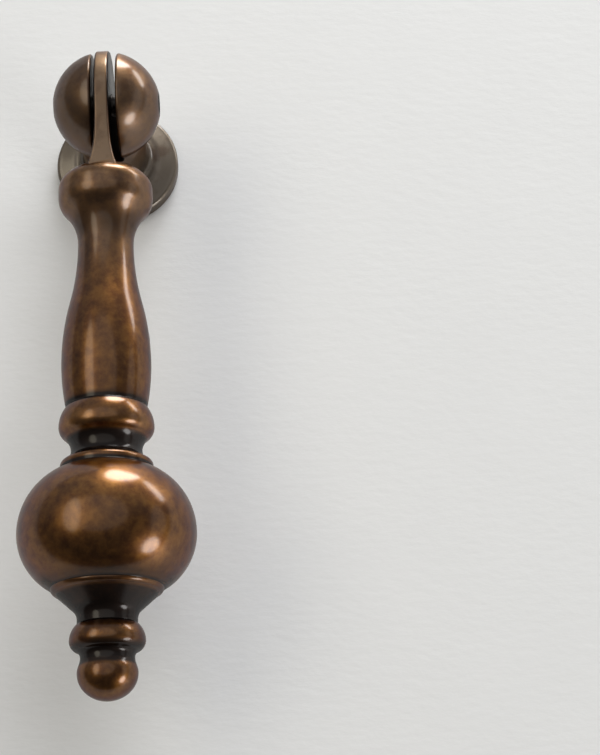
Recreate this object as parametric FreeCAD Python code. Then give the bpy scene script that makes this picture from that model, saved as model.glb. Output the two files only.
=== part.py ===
import FreeCAD
import Part
import math
import os

# Drop pull: a turned post with a slotted ball head, a hinge pin through the ball
# and a turned baluster drop that swings in the slot. Millimetres.
# The back of the foot lies on the plane y = 0, the front faces -Y and the drop hangs along -Z.

Vector = FreeCAD.Vector

# Post: foot, neck and ball head
foot_diameter = 13.4
foot_rim = 1.6
foot_edge_round = 0.5
foot_face_rise = 0.5
post_reach = 14.2
post_neck_diameter = 7.0
post_neck_cove = 1.2
head_diameter = 11.2
slot_width = 2.5
slot_chamfer = 0.2

# Tapped hole in the back of the foot, at its tapping size
screw_bore_diameter = 3.3
screw_bore_end_wall = 1.6

# Hinge pin, pressed into both cheeks of the ball
pin_diameter = 2.2
pin_recess = 0.6
pin_end_chamfer = 0.2
pin_running_clearance = 0.05

# Length of the drop from the pin to its tip: the stem takes up what the other lengths leave
drop_length = 62.05

# Tongue of the drop: a flat round eye that narrows a little on its way down to the bell
# and grows thicker outside the ball, slid towards the left cheek
tongue_diameter = 11.3
tongue_side_play = 1.05
tongue_cheek_gap = 0.36
tongue_back_gap = 0.3
tongue_flare_gap = 0.15
tongue_flare = 0.9
tongue_edge_round = 0.25
tongue_root_inset = 0.6
tongue_root_rise = 0.75
tongue_root_round = 0.4

# Bell: dome, narrow band and flared underside
dome_gap = 1.75
dome_height = 2.6
bell_diameter = 9.6
bell_band = 0.9
bell_fall = 5.1
bell_turn_share = 0.3

# Stem: waist under the bell and belly above the collar
waist_diameter = 5.6
stem_turn_share = 0.5
belly_diameter = 8.84
belly_fall = 4.6
stem_end_diameter = 7.9

# Collar bead, groove and quarter-round ring on top of the finial
collar_diameter = 9.3
collar_rise = 2.0
collar_fall = 2.4
collar_turn_share = 0.4
groove_diameter = 6.9
groove_fall = 1.05
ring_diameter = 9.0
ring_height = 0.95
ring_round = 0.5

# Finial ball, the lip under it and the cone down to the lower neck
finial_diameter = 17.1
finial_rise = 6.25
finial_fall = 5.3
lip_diameter = 10.7
lip_height = 0.5
lip_step = 0.4
cone_height = 2.5
cone_cove = 1.3
lower_neck_diameter = 5.7
lower_neck_height = 0.4

# Lower bead and ball tip
bead_diameter = 7.15
bead_rise = 1.6
bead_fall = 1.55
bead_turn_share = 0.6
tip_neck_diameter = 5.1
tip_diameter = 5.7
tip_rise = 1.45
tip_fall = 2.55
tip_turn_share = 0.5

# Values worked out from the sizes above
head_radius = head_diameter / 2
tongue_thickness = slot_width - tongue_side_play
tongue_shift = tongue_cheek_gap - tongue_side_play / 2
slot_back = tongue_diameter / 2 + tongue_back_gap
screw_bore_depth = post_reach - slot_back - screw_bore_end_wall
pin_length = head_diameter - 2 * pin_recess
eye_bore_diameter = pin_diameter + 2 * pin_running_clearance
dome_top = -(head_radius + dome_gap)
bell_height = dome_top - dome_height
pin_point = Vector(0, -post_reach, 0)

UP = Vector(0, 0, 1)
DOWN = Vector(0, 0, -1)
ACROSS = Vector(1, 0, 0)
SMALL = 1e-4


def at(diameter, height):
    """Point of a turned outline, by its diameter and its height along the axis."""
    return Vector(diameter / 2, 0, height)


def line(start, end):
    """Straight edge between two points."""
    return Part.LineSegment(start, end).toShape()


def arc_from(start, tangent, end):
    """Arc that leaves start along the unit tangent and runs to end."""
    chord = end - start
    along = chord / chord.Length
    lean = tangent.dot(along)
    side = (tangent - along * lean).normalize()
    middle = start + chord / 2 + side * (chord.Length / 2 * math.tan(math.acos(lean) / 2))
    return Part.Arc(start, middle, end).toShape()


def ogee(start, end, share):
    """Two arcs, upright at both ends, that turn over at a share of the way down from start."""
    turn = start + (end - start) * share
    return [arc_from(start, DOWN, turn), arc_from(end, UP, turn)]


def quarter_ellipse(start, corner, end):
    """Quarter of an ellipse inside the corner where the tangents of its ends meet."""
    curve = Part.BezierCurve()
    curve.setPoles([start, corner, end])
    curve.setWeight(2, math.sqrt(0.5))
    return curve.toShape()


def straight_into_cove(start, valley, radius):
    """Straight slope from start that runs into a cove, upright at its valley."""
    centre = valley + ACROSS * radius
    reach = start - centre
    turn = math.atan2(reach.z, reach.x) + math.acos(radius / reach.Length)
    touch = centre + Vector(math.cos(turn), 0, math.sin(turn)) * radius
    return [line(start, touch), arc_from(valley, UP, touch)]


def turned(edges):
    """Solid turned about the Z axis from the edges around half of its section."""
    wire = Part.Wire(Part.__sortEdges__(edges))
    return Part.makeSolid(Part.Face(wire).revolve(Vector(0, 0, 0), UP, 360))


def cross_bore(diameter, length):
    """Cylinder along the pin's axis, centred on the pin."""
    return Part.makeCylinder(diameter / 2, length, pin_point - ACROSS * (length / 2), ACROSS)


def is_circle_about_pin(edge, radius):
    """Whether an edge is part of a circle of this radius around the pin's axis."""
    curve = edge.Curve
    if not isinstance(curve, Part.Circle):
        return False
    return abs(curve.Axis.x) > 1 - SMALL and abs(curve.Radius - radius) < SMALL


def make_post():
    """Post: foot, neck and slotted ball, turned in one piece with the tapped hole in its back."""
    # Half section, drawn with the post standing on its foot
    cove_height = foot_rim + foot_face_rise
    neck_foot = at(post_neck_diameter, cove_height + post_neck_cove)
    cove_edge = at(post_neck_diameter + 2 * post_neck_cove, cove_height)
    face_edge = at(foot_diameter - 2 * foot_edge_round, foot_rim)
    rim_edge = at(foot_diameter, foot_rim - foot_edge_round)
    head_back = post_reach - math.sqrt(head_radius ** 2 - (post_neck_diameter / 2) ** 2)
    neck_top = at(post_neck_diameter, head_back)
    head_top = at(0, post_reach + head_radius)
    bore_mouth = at(screw_bore_diameter, 0)
    bore_end = at(screw_bore_diameter, screw_bore_depth)
    bore_middle = at(0, screw_bore_depth)
    body = turned([
        line(bore_mouth, at(foot_diameter, 0)),
        line(at(foot_diameter, 0), rim_edge),
        arc_from(rim_edge, UP, face_edge),
        line(face_edge, cove_edge),
        arc_from(neck_foot, DOWN, cove_edge),
        line(neck_foot, neck_top),
        Part.Arc(neck_top, at(head_diameter, post_reach), head_top).toShape(),
        line(head_top, bore_middle),
        line(bore_middle, bore_end),
        line(bore_end, bore_mouth),
    ])
    body.rotate(Vector(0, 0, 0), ACROSS, 90)

    # Slot for the tongue, open to the front, above and below
    slot = Part.makeBox(slot_width, slot_back + head_diameter, 2 * head_diameter)
    slot.translate(pin_point + Vector(-slot_width / 2, -head_diameter, -head_diameter))
    body = body.cut(slot)
    cheek_edge_radius = math.sqrt(head_radius ** 2 - (slot_width / 2) ** 2)
    cheek_edges = [edge for edge in body.Edges if is_circle_about_pin(edge, cheek_edge_radius)]
    body = body.makeChamfer(slot_chamfer, cheek_edges)
    return body.cut(cross_bore(pin_diameter, 2 * head_diameter))


def make_hinge_pin():
    """Straight pin with chamfered ends, shorter than the ball is wide."""
    pin = cross_bore(pin_diameter, pin_length)
    end_edges = [edge for edge in pin.Edges if isinstance(edge.Curve, Part.Circle)]
    return pin.makeChamfer(pin_end_chamfer, end_edges)


def make_baluster():
    """Turned part of the drop, from the dome of its bell to the ball tip, below the origin."""
    # Upper heights from the pin down
    bell = at(bell_diameter, bell_height)
    band_end = bell + DOWN * bell_band
    waist = at(waist_diameter, band_end.z - bell_fall)

    # Lower heights from the tip up
    tip_end = at(0, -drop_length)
    tip = at(tip_diameter, tip_end.z + tip_fall)
    tip_neck = at(tip_neck_diameter, tip.z + tip_rise)
    bead = at(bead_diameter, tip_neck.z + bead_fall)
    bead_top = at(lower_neck_diameter, bead.z + bead_rise)
    lower_neck = bead_top + UP * lower_neck_height
    lip_end = at(lip_diameter - 2 * lip_step, lower_neck.z + cone_height)
    lip = at(lip_diameter, lip_end.z + lip_height)
    finial = at(finial_diameter, lip.z + finial_fall)
    ring_end = at(ring_diameter, finial.z + finial_rise)
    ring_top = at(ring_diameter - 2 * ring_round, ring_end.z + ring_height)
    ring_edge = at(ring_diameter, ring_top.z - ring_round)
    groove = at(groove_diameter, ring_top.z + groove_fall)
    collar = at(collar_diameter, groove.z + collar_fall)
    stem_end = at(stem_end_diameter, collar.z + collar_rise)
    belly = at(belly_diameter, stem_end.z + belly_fall)
    return turned([
        quarter_ellipse(at(0, dome_top), at(bell_diameter, dome_top), bell),
        line(bell, band_end),
        *ogee(band_end, waist, bell_turn_share),
        *ogee(waist, belly, stem_turn_share),
        arc_from(belly, DOWN, stem_end),
        arc_from(collar, UP, stem_end),
        *ogee(collar, groove, collar_turn_share),
        arc_from(groove, DOWN, ring_top),
        arc_from(ring_edge, UP, ring_top),
        line(ring_edge, ring_end),
        arc_from(finial, UP, ring_end),
        arc_from(finial, DOWN, lip),
        arc_from(lip, DOWN, lip_end),
        *straight_into_cove(lip_end, lower_neck, cone_cove),
        line(lower_neck, bead_top),
        arc_from(bead, UP, bead_top),
        *ogee(bead, tip_neck, bead_turn_share),
        *ogee(tip_neck, tip, tip_turn_share),
        quarter_ellipse(tip, at(tip_diameter, tip_end.z), tip_end),
        line(tip_end, at(0, dome_top)),
    ])


def is_tongue_rim(edge, root):
    """Whether an edge of the tongue runs along its outline, above its root."""
    middle = edge.valueAt((edge.FirstParameter + edge.LastParameter) / 2)
    on_flank = abs(middle.x) > tongue_thickness / 2 - SMALL
    on_bend = is_circle_about_pin(edge, tongue_diameter / 2 + tongue_flare_gap)
    return on_flank and middle.z > root + SMALL and not on_bend


def make_tongue():
    """Flat eye with its shoulders and flared flanks, centred on the origin."""
    # Outline across the pin: the eye and the long hollow that is upright at the root
    eye_radius = tongue_diameter / 2
    root = bell_height + tongue_root_rise
    foot = Vector(0, bell_diameter / 2 - tongue_root_inset, root)
    hollow = (foot.Length ** 2 - eye_radius ** 2) / (2 * (eye_radius - foot.y))
    centre = foot + Vector(0, hollow, 0)
    touch = centre * (eye_radius / centre.Length)
    back_touch = Vector(0, -touch.y, touch.z)
    back_foot = Vector(0, -foot.y, foot.z)
    outline = Part.Wire(Part.__sortEdges__([
        Part.Arc(touch, Vector(0, 0, eye_radius), back_touch).toShape(),
        arc_from(foot, UP, touch),
        line(foot, back_foot),
        arc_from(back_foot, UP, back_touch),
    ]))
    reach = foot.Length
    slab = Part.Face(outline).extrude(ACROSS * (2 * reach))
    slab.translate(ACROSS * -reach)

    # Disc about the pin, flat as far as the eye and flared beyond it
    half = tongue_thickness / 2
    flat = eye_radius + tongue_flare_gap
    corners = [Vector(side * half, 0, 0) for side in (-1, 1)]
    bends = [Vector(side * half, 0, flat) for side in (-1, 1)]
    rims = [Vector(side * (half + tongue_flare), 0, reach) for side in (-1, 1)]
    section = Part.Wire(Part.__sortEdges__([
        line(corners[0], bends[0]),
        arc_from(bends[0], UP, rims[0]),
        line(rims[0], rims[1]),
        arc_from(bends[1], UP, rims[1]),
        line(bends[1], corners[1]),
        line(corners[1], corners[0]),
    ]))
    disc = Part.makeSolid(Part.Face(section).revolve(Vector(0, 0, 0), ACROSS, 360))
    tongue = slab.common(disc).removeSplitter()
    rim_edges = [edge for edge in tongue.Edges if is_tongue_rim(edge, root)]
    return tongue.makeFillet(tongue_edge_round, rim_edges)


def is_tongue_root(edge):
    """Whether an edge lies where the tongue runs into the dome of the bell."""
    middle = edge.valueAt((edge.FirstParameter + edge.LastParameter) / 2)
    spread = math.hypot(middle.x, middle.y) / (bell_diameter / 2)
    rise = (middle.z - bell_height) / dome_height
    on_dome = abs(spread ** 2 + rise ** 2 - 1) < SMALL
    return on_dome and abs(middle.x) < bell_diameter / 4


def make_drop():
    """Drop: the tongue with its eye and the baluster under it, in one piece."""
    body = make_baluster().fuse(make_tongue())
    root_edges = [edge for edge in body.Edges if is_tongue_root(edge)]
    body = body.makeFillet(tongue_root_round, root_edges)
    body.translate(pin_point + ACROSS * tongue_shift)
    return body.cut(cross_bore(eye_bore_diameter, head_diameter))


def main():
    """Write each piece to its own file."""
    os.makedirs("parts", exist_ok=True)
    pieces = {"post": make_post(), "hinge_pin": make_hinge_pin(), "drop": make_drop()}
    for name, shape in pieces.items():
        shape.exportStep(f"parts/{name}.step")


main()
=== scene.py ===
"""Visual model of a turned drop pull: its post, its hinge pin and the baluster drop that swings on it."""

import logging
import math
from collections.abc import Callable
from dataclasses import dataclass
from enum import Enum
from typing import Any

import bmesh
import bpy
import numpy as np
from mathutils import Matrix, Vector
from mathutils.kdtree import KDTree


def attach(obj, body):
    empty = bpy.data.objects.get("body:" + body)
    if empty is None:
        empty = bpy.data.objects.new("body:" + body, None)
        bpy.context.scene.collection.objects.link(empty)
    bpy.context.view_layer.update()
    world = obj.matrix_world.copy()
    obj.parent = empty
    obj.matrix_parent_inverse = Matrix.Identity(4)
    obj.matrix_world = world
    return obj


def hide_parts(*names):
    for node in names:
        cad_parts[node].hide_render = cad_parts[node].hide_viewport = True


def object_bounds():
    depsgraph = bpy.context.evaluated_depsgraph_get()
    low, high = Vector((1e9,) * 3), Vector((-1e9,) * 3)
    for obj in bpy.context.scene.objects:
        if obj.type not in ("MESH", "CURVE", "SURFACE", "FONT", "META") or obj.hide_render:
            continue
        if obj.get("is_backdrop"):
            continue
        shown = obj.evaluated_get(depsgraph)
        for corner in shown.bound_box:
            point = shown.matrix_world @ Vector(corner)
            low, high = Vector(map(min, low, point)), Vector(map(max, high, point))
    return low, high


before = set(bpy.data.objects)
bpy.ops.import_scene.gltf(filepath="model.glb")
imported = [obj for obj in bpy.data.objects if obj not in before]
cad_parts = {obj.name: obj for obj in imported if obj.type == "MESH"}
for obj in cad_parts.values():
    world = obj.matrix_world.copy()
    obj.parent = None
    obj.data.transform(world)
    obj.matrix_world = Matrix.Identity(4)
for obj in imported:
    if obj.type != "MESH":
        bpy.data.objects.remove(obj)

log = logging.getLogger("drop_pull")

# One millimetre in the model's metres
MM = 0.001

# Largest turn and largest step between two points of a sampled curve, and the step along a thread
ARC_STEP = math.radians(4)
LENGTH_STEP = 0.45
THREAD_STEP = LENGTH_STEP / 8

# Steps in which an eased corner is rounded
EASE_STEPS = 6

# Points closer than this are one point, and faces thinner than a sliver go, in millimetres
WELD = 0.0005
SLIVER = WELD / 10

# Edges that turn by more than this stay crisp
CREASE = math.radians(33)

# Half the step by which joined walls miss lying in one plane, in millimetres
JOINT_STEP = 0.01

# Margin by which a point is told to lie on a wall, in millimetres
NEAR = 0.1

UP = Vector((0.0, 1.0))
DOWN = Vector((0.0, -1.0))

Colour = tuple[float, float, float]
Span = tuple[float, float]
# Darkness from the patina's black and painted shade, rub and haze at a point
WearAndShade = Callable[[Vector], tuple[float, float, float]]


class Axis(Enum):
    """Way that the axis of a turned piece points in the model."""

    UPRIGHT = Matrix.Identity(4)
    FORWARD = Matrix.Rotation(math.radians(90), 4, "X")
    RIGHT = Matrix.Rotation(math.radians(90), 4, "Y")
    LEFT = Matrix.Rotation(math.radians(-90), 4, "Y")


class Joining(Enum):
    """Way that one closed shape changes another."""

    ADD = "UNION"
    CUT = "DIFFERENCE"


def ramp(value: float, low: float, high: float) -> float:
    """Smooth step of a value from 0 at low to 1 at high.

    Args:
        value: Number to place.
        low: Where the step begins.
        high: Where the step ends.

    Returns:
        A share from 0 to 1.
    """
    share = min(1.0, max(0.0, (value - low) / (high - low)))
    return share * share * (3 - 2 * share)


class Outline:
    """Half section of a turned piece, as points of radius and height in millimetres."""

    def __init__(self, radius: float, height: float) -> None:
        """Start the outline at one point.

        Args:
            radius: Radius of the point.
            height: Height of the point.
        """
        self.points = [Vector((radius, height))]
        self.threads = [0.0]
        self.corners: list[tuple[int, float]] = []

    def _add(self, points: list[Vector], thread: float = 0.0) -> "Outline":
        """Append points that share one thread weight.

        Args:
            points: Points that come next.
            thread: Share of the thread's depth that they take.

        Returns:
            The outline itself.
        """
        self.points += points
        self.threads += [thread] * len(points)
        return self

    @staticmethod
    def _arc(start: Vector, tangent: Vector, end: Vector) -> list[Vector]:
        """Sample an arc that leaves start along a tangent and runs to end.

        Args:
            start: First point of the arc.
            tangent: Unit direction in which the arc leaves it.
            end: Last point of the arc.

        Returns:
            Points along the arc, both ends included.
        """
        chord = end - start
        half = math.atan2(tangent.cross(chord), tangent.dot(chord))
        steps = max(2, math.ceil(2 * abs(half) / ARC_STEP), math.ceil(chord.length / LENGTH_STEP))
        points = [start.copy()]
        for step in range(1, steps + 1):
            turned = half * step / steps
            reach = chord.length * math.sin(turned) / math.sin(half)
            points.append(start + Matrix.Rotation(turned, 2) @ tangent * reach)
        return points

    def line(self, radius: float, height: float, thread: float = 0.0) -> "Outline":
        """Run straight to a point.

        Args:
            radius: Radius of the point.
            height: Height of the point.
            thread: Share of the thread's depth that these points take.

        Returns:
            The outline itself.
        """
        start = self.points[-1]
        end = Vector((radius, height))
        step = THREAD_STEP if thread else LENGTH_STEP
        steps = max(1, math.ceil((end - start).length / step))
        return self._add([start.lerp(end, i / steps) for i in range(1, steps + 1)], thread)

    def arc(self, tangent: Vector, end: Vector) -> "Outline":
        """Run on an arc that leaves the last point along a tangent."""
        return self._add(self._arc(self.points[-1], tangent, end)[1:])

    def arc_into(self, end: Vector, tangent: Vector) -> "Outline":
        """Run on the arc that, walked back from its end, leaves the end along a tangent."""
        return self._add(self._arc(end, tangent, self.points[-1])[-2::-1])

    def ogee(self, end: Vector, share: float) -> "Outline":
        """Run on two arcs, upright at both ends, that turn over at a share of the way."""
        turn = self.points[-1].lerp(end, share)
        return self.arc(DOWN, turn).arc_into(end, UP)

    def quarter(self, end: Vector, level_first: bool) -> "Outline":
        """Run on a quarter of an ellipse.

        Args:
            end: Last point of the quarter.
            level_first: Whether it leaves level and arrives upright, or the other way round.

        Returns:
            The outline itself.
        """
        start = self.points[-1]
        reach = end - start
        steps = max(math.ceil(math.pi / 2 / ARC_STEP), math.ceil(reach.length / LENGTH_STEP))
        points = []
        for step in range(1, steps + 1):
            turn = math.pi / 2 * step / steps
            soon, late = math.sin(turn), 1 - math.cos(turn)
            share = Vector((soon, late)) if level_first else Vector((late, soon))
            points.append(start + reach * share)
        return self._add(points)

    def cove(self, valley: Vector, radius: float) -> "Outline":
        """Run straight down a slope and into a cove that is upright at its valley.

        Args:
            valley: Last point of the cove.
            radius: Radius of the cove.

        Returns:
            The outline itself.
        """
        centre = valley + Vector((radius, 0.0))
        reach = self.points[-1] - centre
        turn = math.atan2(reach.y, reach.x) + math.acos(radius / reach.length)
        touch = centre + Vector((math.cos(turn), math.sin(turn))) * radius
        return self.line(touch.x, touch.y).arc_into(valley, UP)

    def ease(self, reach: float) -> "Outline":
        """Round the corner at the last point off, from this far before it to this far after it."""
        self.corners.append((len(self.points) - 1, reach))
        return self

    def rounded(self) -> tuple[list[Vector], list[float]]:
        """Round the eased corners.

        Returns:
            The points of the outline and the thread weight of each.
        """
        points = list(self.points)
        threads = list(self.threads)
        lengths = [0.0]
        for start, end in zip(points, points[1:]):
            lengths.append(lengths[-1] + (end - start).length)
        for index, reach in sorted(self.corners, reverse=True):
            places = (lengths[index] - reach, lengths[index] + reach)
            ends = [np.interp(place, lengths, range(len(lengths))) for place in places]
            first, last = math.floor(ends[0]), math.ceil(ends[1])
            before = self.points[first].lerp(self.points[min(first + 1, index)], ends[0] - first)
            after = self.points[last].lerp(self.points[max(last - 1, index)], last - ends[1])
            corner = self.points[index]
            shares = [step / EASE_STEPS for step in range(EASE_STEPS + 1)]
            curve = [before.lerp(corner, t).lerp(corner.lerp(after, t), t) for t in shares]
            points[first + 1:last] = curve
            threads[first + 1:last] = [0.0] * len(curve)
        return points, threads


class TurningTree:
    """Geometry Nodes tree that turns an outline about its axis, with a screw thread where it is marked."""

    def __init__(self) -> None:
        """Build the tree."""
        self.tree = bpy.data.node_groups.new("Turned outline", "GeometryNodeTree")
        self.inputs: dict[str, str] = {}
        self._socket("Outline", "Geometry")
        self._socket("Turned piece", "Geometry", "OUTPUT")
        for name, kind in (
            ("Segments", "Int"),
            ("Thread pitch", "Float"),
            ("Thread depth", "Float"),
            ("Weld distance", "Float"),
            ("Finish", "Material"),
        ):
            self._socket(name, kind)
        self._build()

    def _socket(self, name: str, kind: str, way: str = "INPUT") -> None:
        """Add one named input or output and keep its identifier."""
        socket = self.tree.interface.new_socket(name=name, in_out=way, socket_type=f"NodeSocket{kind}")
        self.inputs[name] = socket.identifier

    def _node(self, kind: str, *inputs: Any, **settings: Any) -> bpy.types.Node:
        """Add a node and fill its inputs in order."""
        return add_node(self.tree, kind, *inputs, **settings)

    def _math(self, operation: str, *inputs: Any) -> bpy.types.NodeSocket:
        """Add a sum of numbers."""
        return self._node("ShaderNodeMath", *inputs, operation=operation).outputs[0]

    def _whole(self, operation: str, *inputs: Any) -> bpy.types.NodeSocket:
        """Add a sum of whole numbers."""
        return self._node("FunctionNodeIntegerMath", *inputs, operation=operation).outputs[0]

    def _sample(self, outline: bpy.types.NodeSocket, kind: str, *inputs: Any) -> bpy.types.NodeSocket:
        """Read a value of one kind from the outline."""
        return self._node("GeometryNodeSampleIndex", outline, *inputs, data_type=kind).outputs[0]

    def _build(self) -> None:
        """Lay a grid over outline and angle, place its points and close it."""
        given = self._node("NodeGroupInput").outputs
        outline = given["Outline"]
        count = self._node("GeometryNodeAttributeDomainSize", outline).outputs["Point Count"]
        rings = self._whole("ADD", given["Segments"], 1)
        grid = self._node("GeometryNodeMeshGrid", 1.0, 1.0, rings, count).outputs["Mesh"]

        # Place in the outline and share of a full turn, for each point of the grid
        index = self._node("GeometryNodeInputIndex").outputs[0]
        place = self._whole("MODULO", index, count)
        turn = self._math("DIVIDE", self._whole("DIVIDE_FLOOR", index, count), given["Segments"])
        position = self._node("GeometryNodeInputPosition").outputs[0]
        point = self._sample(outline, "FLOAT_VECTOR", position, place)
        named = self._node("GeometryNodeInputNamedAttribute", "thread", data_type="FLOAT").outputs[0]
        thread = self._sample(outline, "FLOAT", named, place)

        # Thread: a triangular groove that climbs by one pitch in each turn
        height = self._node("ShaderNodeSeparateXYZ", point).outputs["Z"]
        climb = self._math("DIVIDE", height, given["Thread pitch"])
        wave = self._math("PINGPONG", self._math("ADD", climb, turn), 0.5)
        depth = self._math("MULTIPLY", self._math("MULTIPLY", wave, 2.0), given["Thread depth"])
        outward = self._node("ShaderNodeCombineXYZ", self._math("MULTIPLY", depth, thread)).outputs[0]
        placed = self._node("ShaderNodeVectorMath", point, outward, operation="ADD").outputs[0]
        angle = self._math("MULTIPLY", turn, math.tau)
        swung = self._node("ShaderNodeVectorRotate", placed, None, angle, rotation_type="Z_AXIS").outputs[0]

        # Turned shell, closed at its seam and poles
        shell = self._node("GeometryNodeSetPosition", grid, None, swung).outputs[0]
        closed = self._node("GeometryNodeMergeByDistance", shell, None, given["Weld distance"]).outputs[0]
        real = self._node("GeometryNodeRealizeInstances", closed).outputs[0]
        dressed = self._node("GeometryNodeSetMaterial", real, None, given["Finish"]).outputs[0]
        self._node("NodeGroupOutput", dressed)

    def turn(
        self,
        name: str,
        outline: Outline,
        axis: Axis,
        place: Vector,
        finish: bpy.types.Material,
        segments: int = 160,
        pitch: float = 1.0,
        depth: float = 0.0,
    ) -> bpy.types.Object:
        """Turn an outline into a closed mesh in its place.

        Args:
            name: Name of the new object.
            outline: Half section of the piece.
            axis: Way that the piece's axis points.
            place: Where the outline's origin lies, in millimetres.
            finish: Material of the piece.
            segments: Facets around the axis.
            pitch: Climb of the thread in one turn, in millimetres.
            depth: Depth of the thread, in millimetres.

        Returns:
            An object at the origin with its place in its mesh.
        """
        points, threads = outline.rounded()
        section = bpy.data.meshes.new(name)
        section.from_pydata(
            [(point.x * MM, 0.0, point.y * MM) for point in points],
            [(i, i + 1) for i in range(len(points) - 1)],
            [],
        )
        section.attributes.new("thread", "FLOAT", "POINT").data.foreach_set("value", threads)
        piece = link(name, section)
        modifier = piece.modifiers.new("Turning", "NODES")
        modifier.node_group = self.tree
        for key, value in (
            ("Segments", segments),
            ("Thread pitch", pitch * MM),
            ("Thread depth", depth * MM),
            ("Weld distance", WELD * MM),
            ("Finish", finish),
        ):
            modifier[self.inputs[key]] = value
        settle(piece)
        piece.data.transform(Matrix.Translation(place * MM) @ axis.value)
        close(piece.data)
        return piece


def add_node(tree: bpy.types.NodeTree, kind: str, *inputs: Any, **settings: Any) -> bpy.types.Node:
    """Add a node to a tree, set its properties and fill its inputs in order.

    Args:
        tree: Tree that gets the node.
        kind: Node type.
        inputs: Socket to link or value to set for each input, or None to leave it.
        settings: Properties of the node.

    Returns:
        The new node.
    """
    node = tree.nodes.new(kind)
    for name, value in settings.items():
        setattr(node, name, value)
    sockets = [socket for socket in node.inputs if socket.enabled]
    for socket, value in zip(sockets, inputs):
        if isinstance(value, bpy.types.NodeSocket):
            tree.links.new(value, socket)
        elif value is not None:
            socket.default_value = value
    return node


def link(name: str, mesh: bpy.types.Mesh) -> bpy.types.Object:
    """Make an object of a mesh and link it to the scene.

    Args:
        name: Name of the object and its mesh.
        mesh: Mesh of the object.

    Returns:
        The new object.
    """
    mesh.name = name
    made = bpy.data.objects.new(name, mesh)
    bpy.context.scene.collection.objects.link(made)
    return made


def shaped(name: str, shape: bmesh.types.BMesh) -> bpy.types.Object:
    """Make an object of a shape that was drawn face by face, and free the shape.

    Args:
        name: Name of the object and its mesh.
        shape: Shape in metres.

    Returns:
        The new object.
    """
    mesh = bpy.data.meshes.new(name)
    shape.to_mesh(mesh)
    shape.free()
    return link(name, mesh)


def settle(piece: bpy.types.Object) -> None:
    """Turn what a piece's modifiers make into its plain mesh and remove them.

    Args:
        piece: Piece with its modifiers set.
    """
    drawn = piece.evaluated_get(bpy.context.evaluated_depsgraph_get())
    mesh = bpy.data.meshes.new_from_object(drawn)
    old = piece.data
    piece.modifiers.clear()
    piece.data = mesh
    bpy.data.meshes.remove(old)
    mesh.name = piece.name


def close(mesh: bpy.types.Mesh) -> None:
    """Merge a mesh's doubles, turn its faces outwards and shade it smooth between its crisp edges.

    Args:
        mesh: Mesh of a closed piece.
    """
    shape = bmesh.new()
    shape.from_mesh(mesh)
    bmesh.ops.remove_doubles(shape, verts=shape.verts, dist=WELD * MM)
    bmesh.ops.dissolve_degenerate(shape, dist=SLIVER * MM, edges=shape.edges)
    bmesh.ops.recalc_face_normals(shape, faces=shape.faces)
    shape.to_mesh(mesh)
    shape.free()
    mesh.shade_smooth()
    mesh.set_sharp_from_angle(angle=CREASE)


def combine(piece: bpy.types.Object, tool: bpy.types.Object, joining: Joining) -> None:
    """Add one closed piece to another or cut it away, and remove the one that was used.

    Args:
        piece: Piece that is changed.
        tool: Piece that is used up.
        joining: Whether the tool is added or cut away.
    """
    modifier = piece.modifiers.new(joining.name, "BOOLEAN")
    modifier.operation = joining.value
    modifier.solver = "EXACT"
    modifier.object = tool
    settle(piece)
    bpy.data.objects.remove(tool)
    close(piece.data)


def dress(mesh: bpy.types.Mesh, finish: bpy.types.Material) -> None:
    """Give every face of a mesh the same finish, in its only slot.

    Args:
        mesh: Mesh of a finished piece.
        finish: Material of the piece.
    """
    mesh.materials.clear()
    mesh.materials.append(finish)
    mesh.polygons.foreach_set("material_index", [0] * len(mesh.polygons))
    mesh.update()


def mark_wear_and_shade(mesh: bpy.types.Mesh, wear_and_shade: WearAndShade) -> None:
    """Store how dark, by the patina's black and by painted shade, how rubbed and how hazed a surface is at
    each of its points.

    Args:
        mesh: Mesh that gets the attributes.
        wear_and_shade: Function that gives that darkness, rub and haze, from 0 to 1, at a point in
            millimetres.
    """
    marks = [wear_and_shade(vertex.co / MM) for vertex in mesh.vertices]
    # The first share darkens for the patina's black in hollows and for painted shade alike
    for name, values in zip(("grime_and_shade", "rub", "haze"), zip(*marks)):
        mesh.attributes.new(name, "FLOAT", "POINT").data.foreach_set("value", values)


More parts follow.
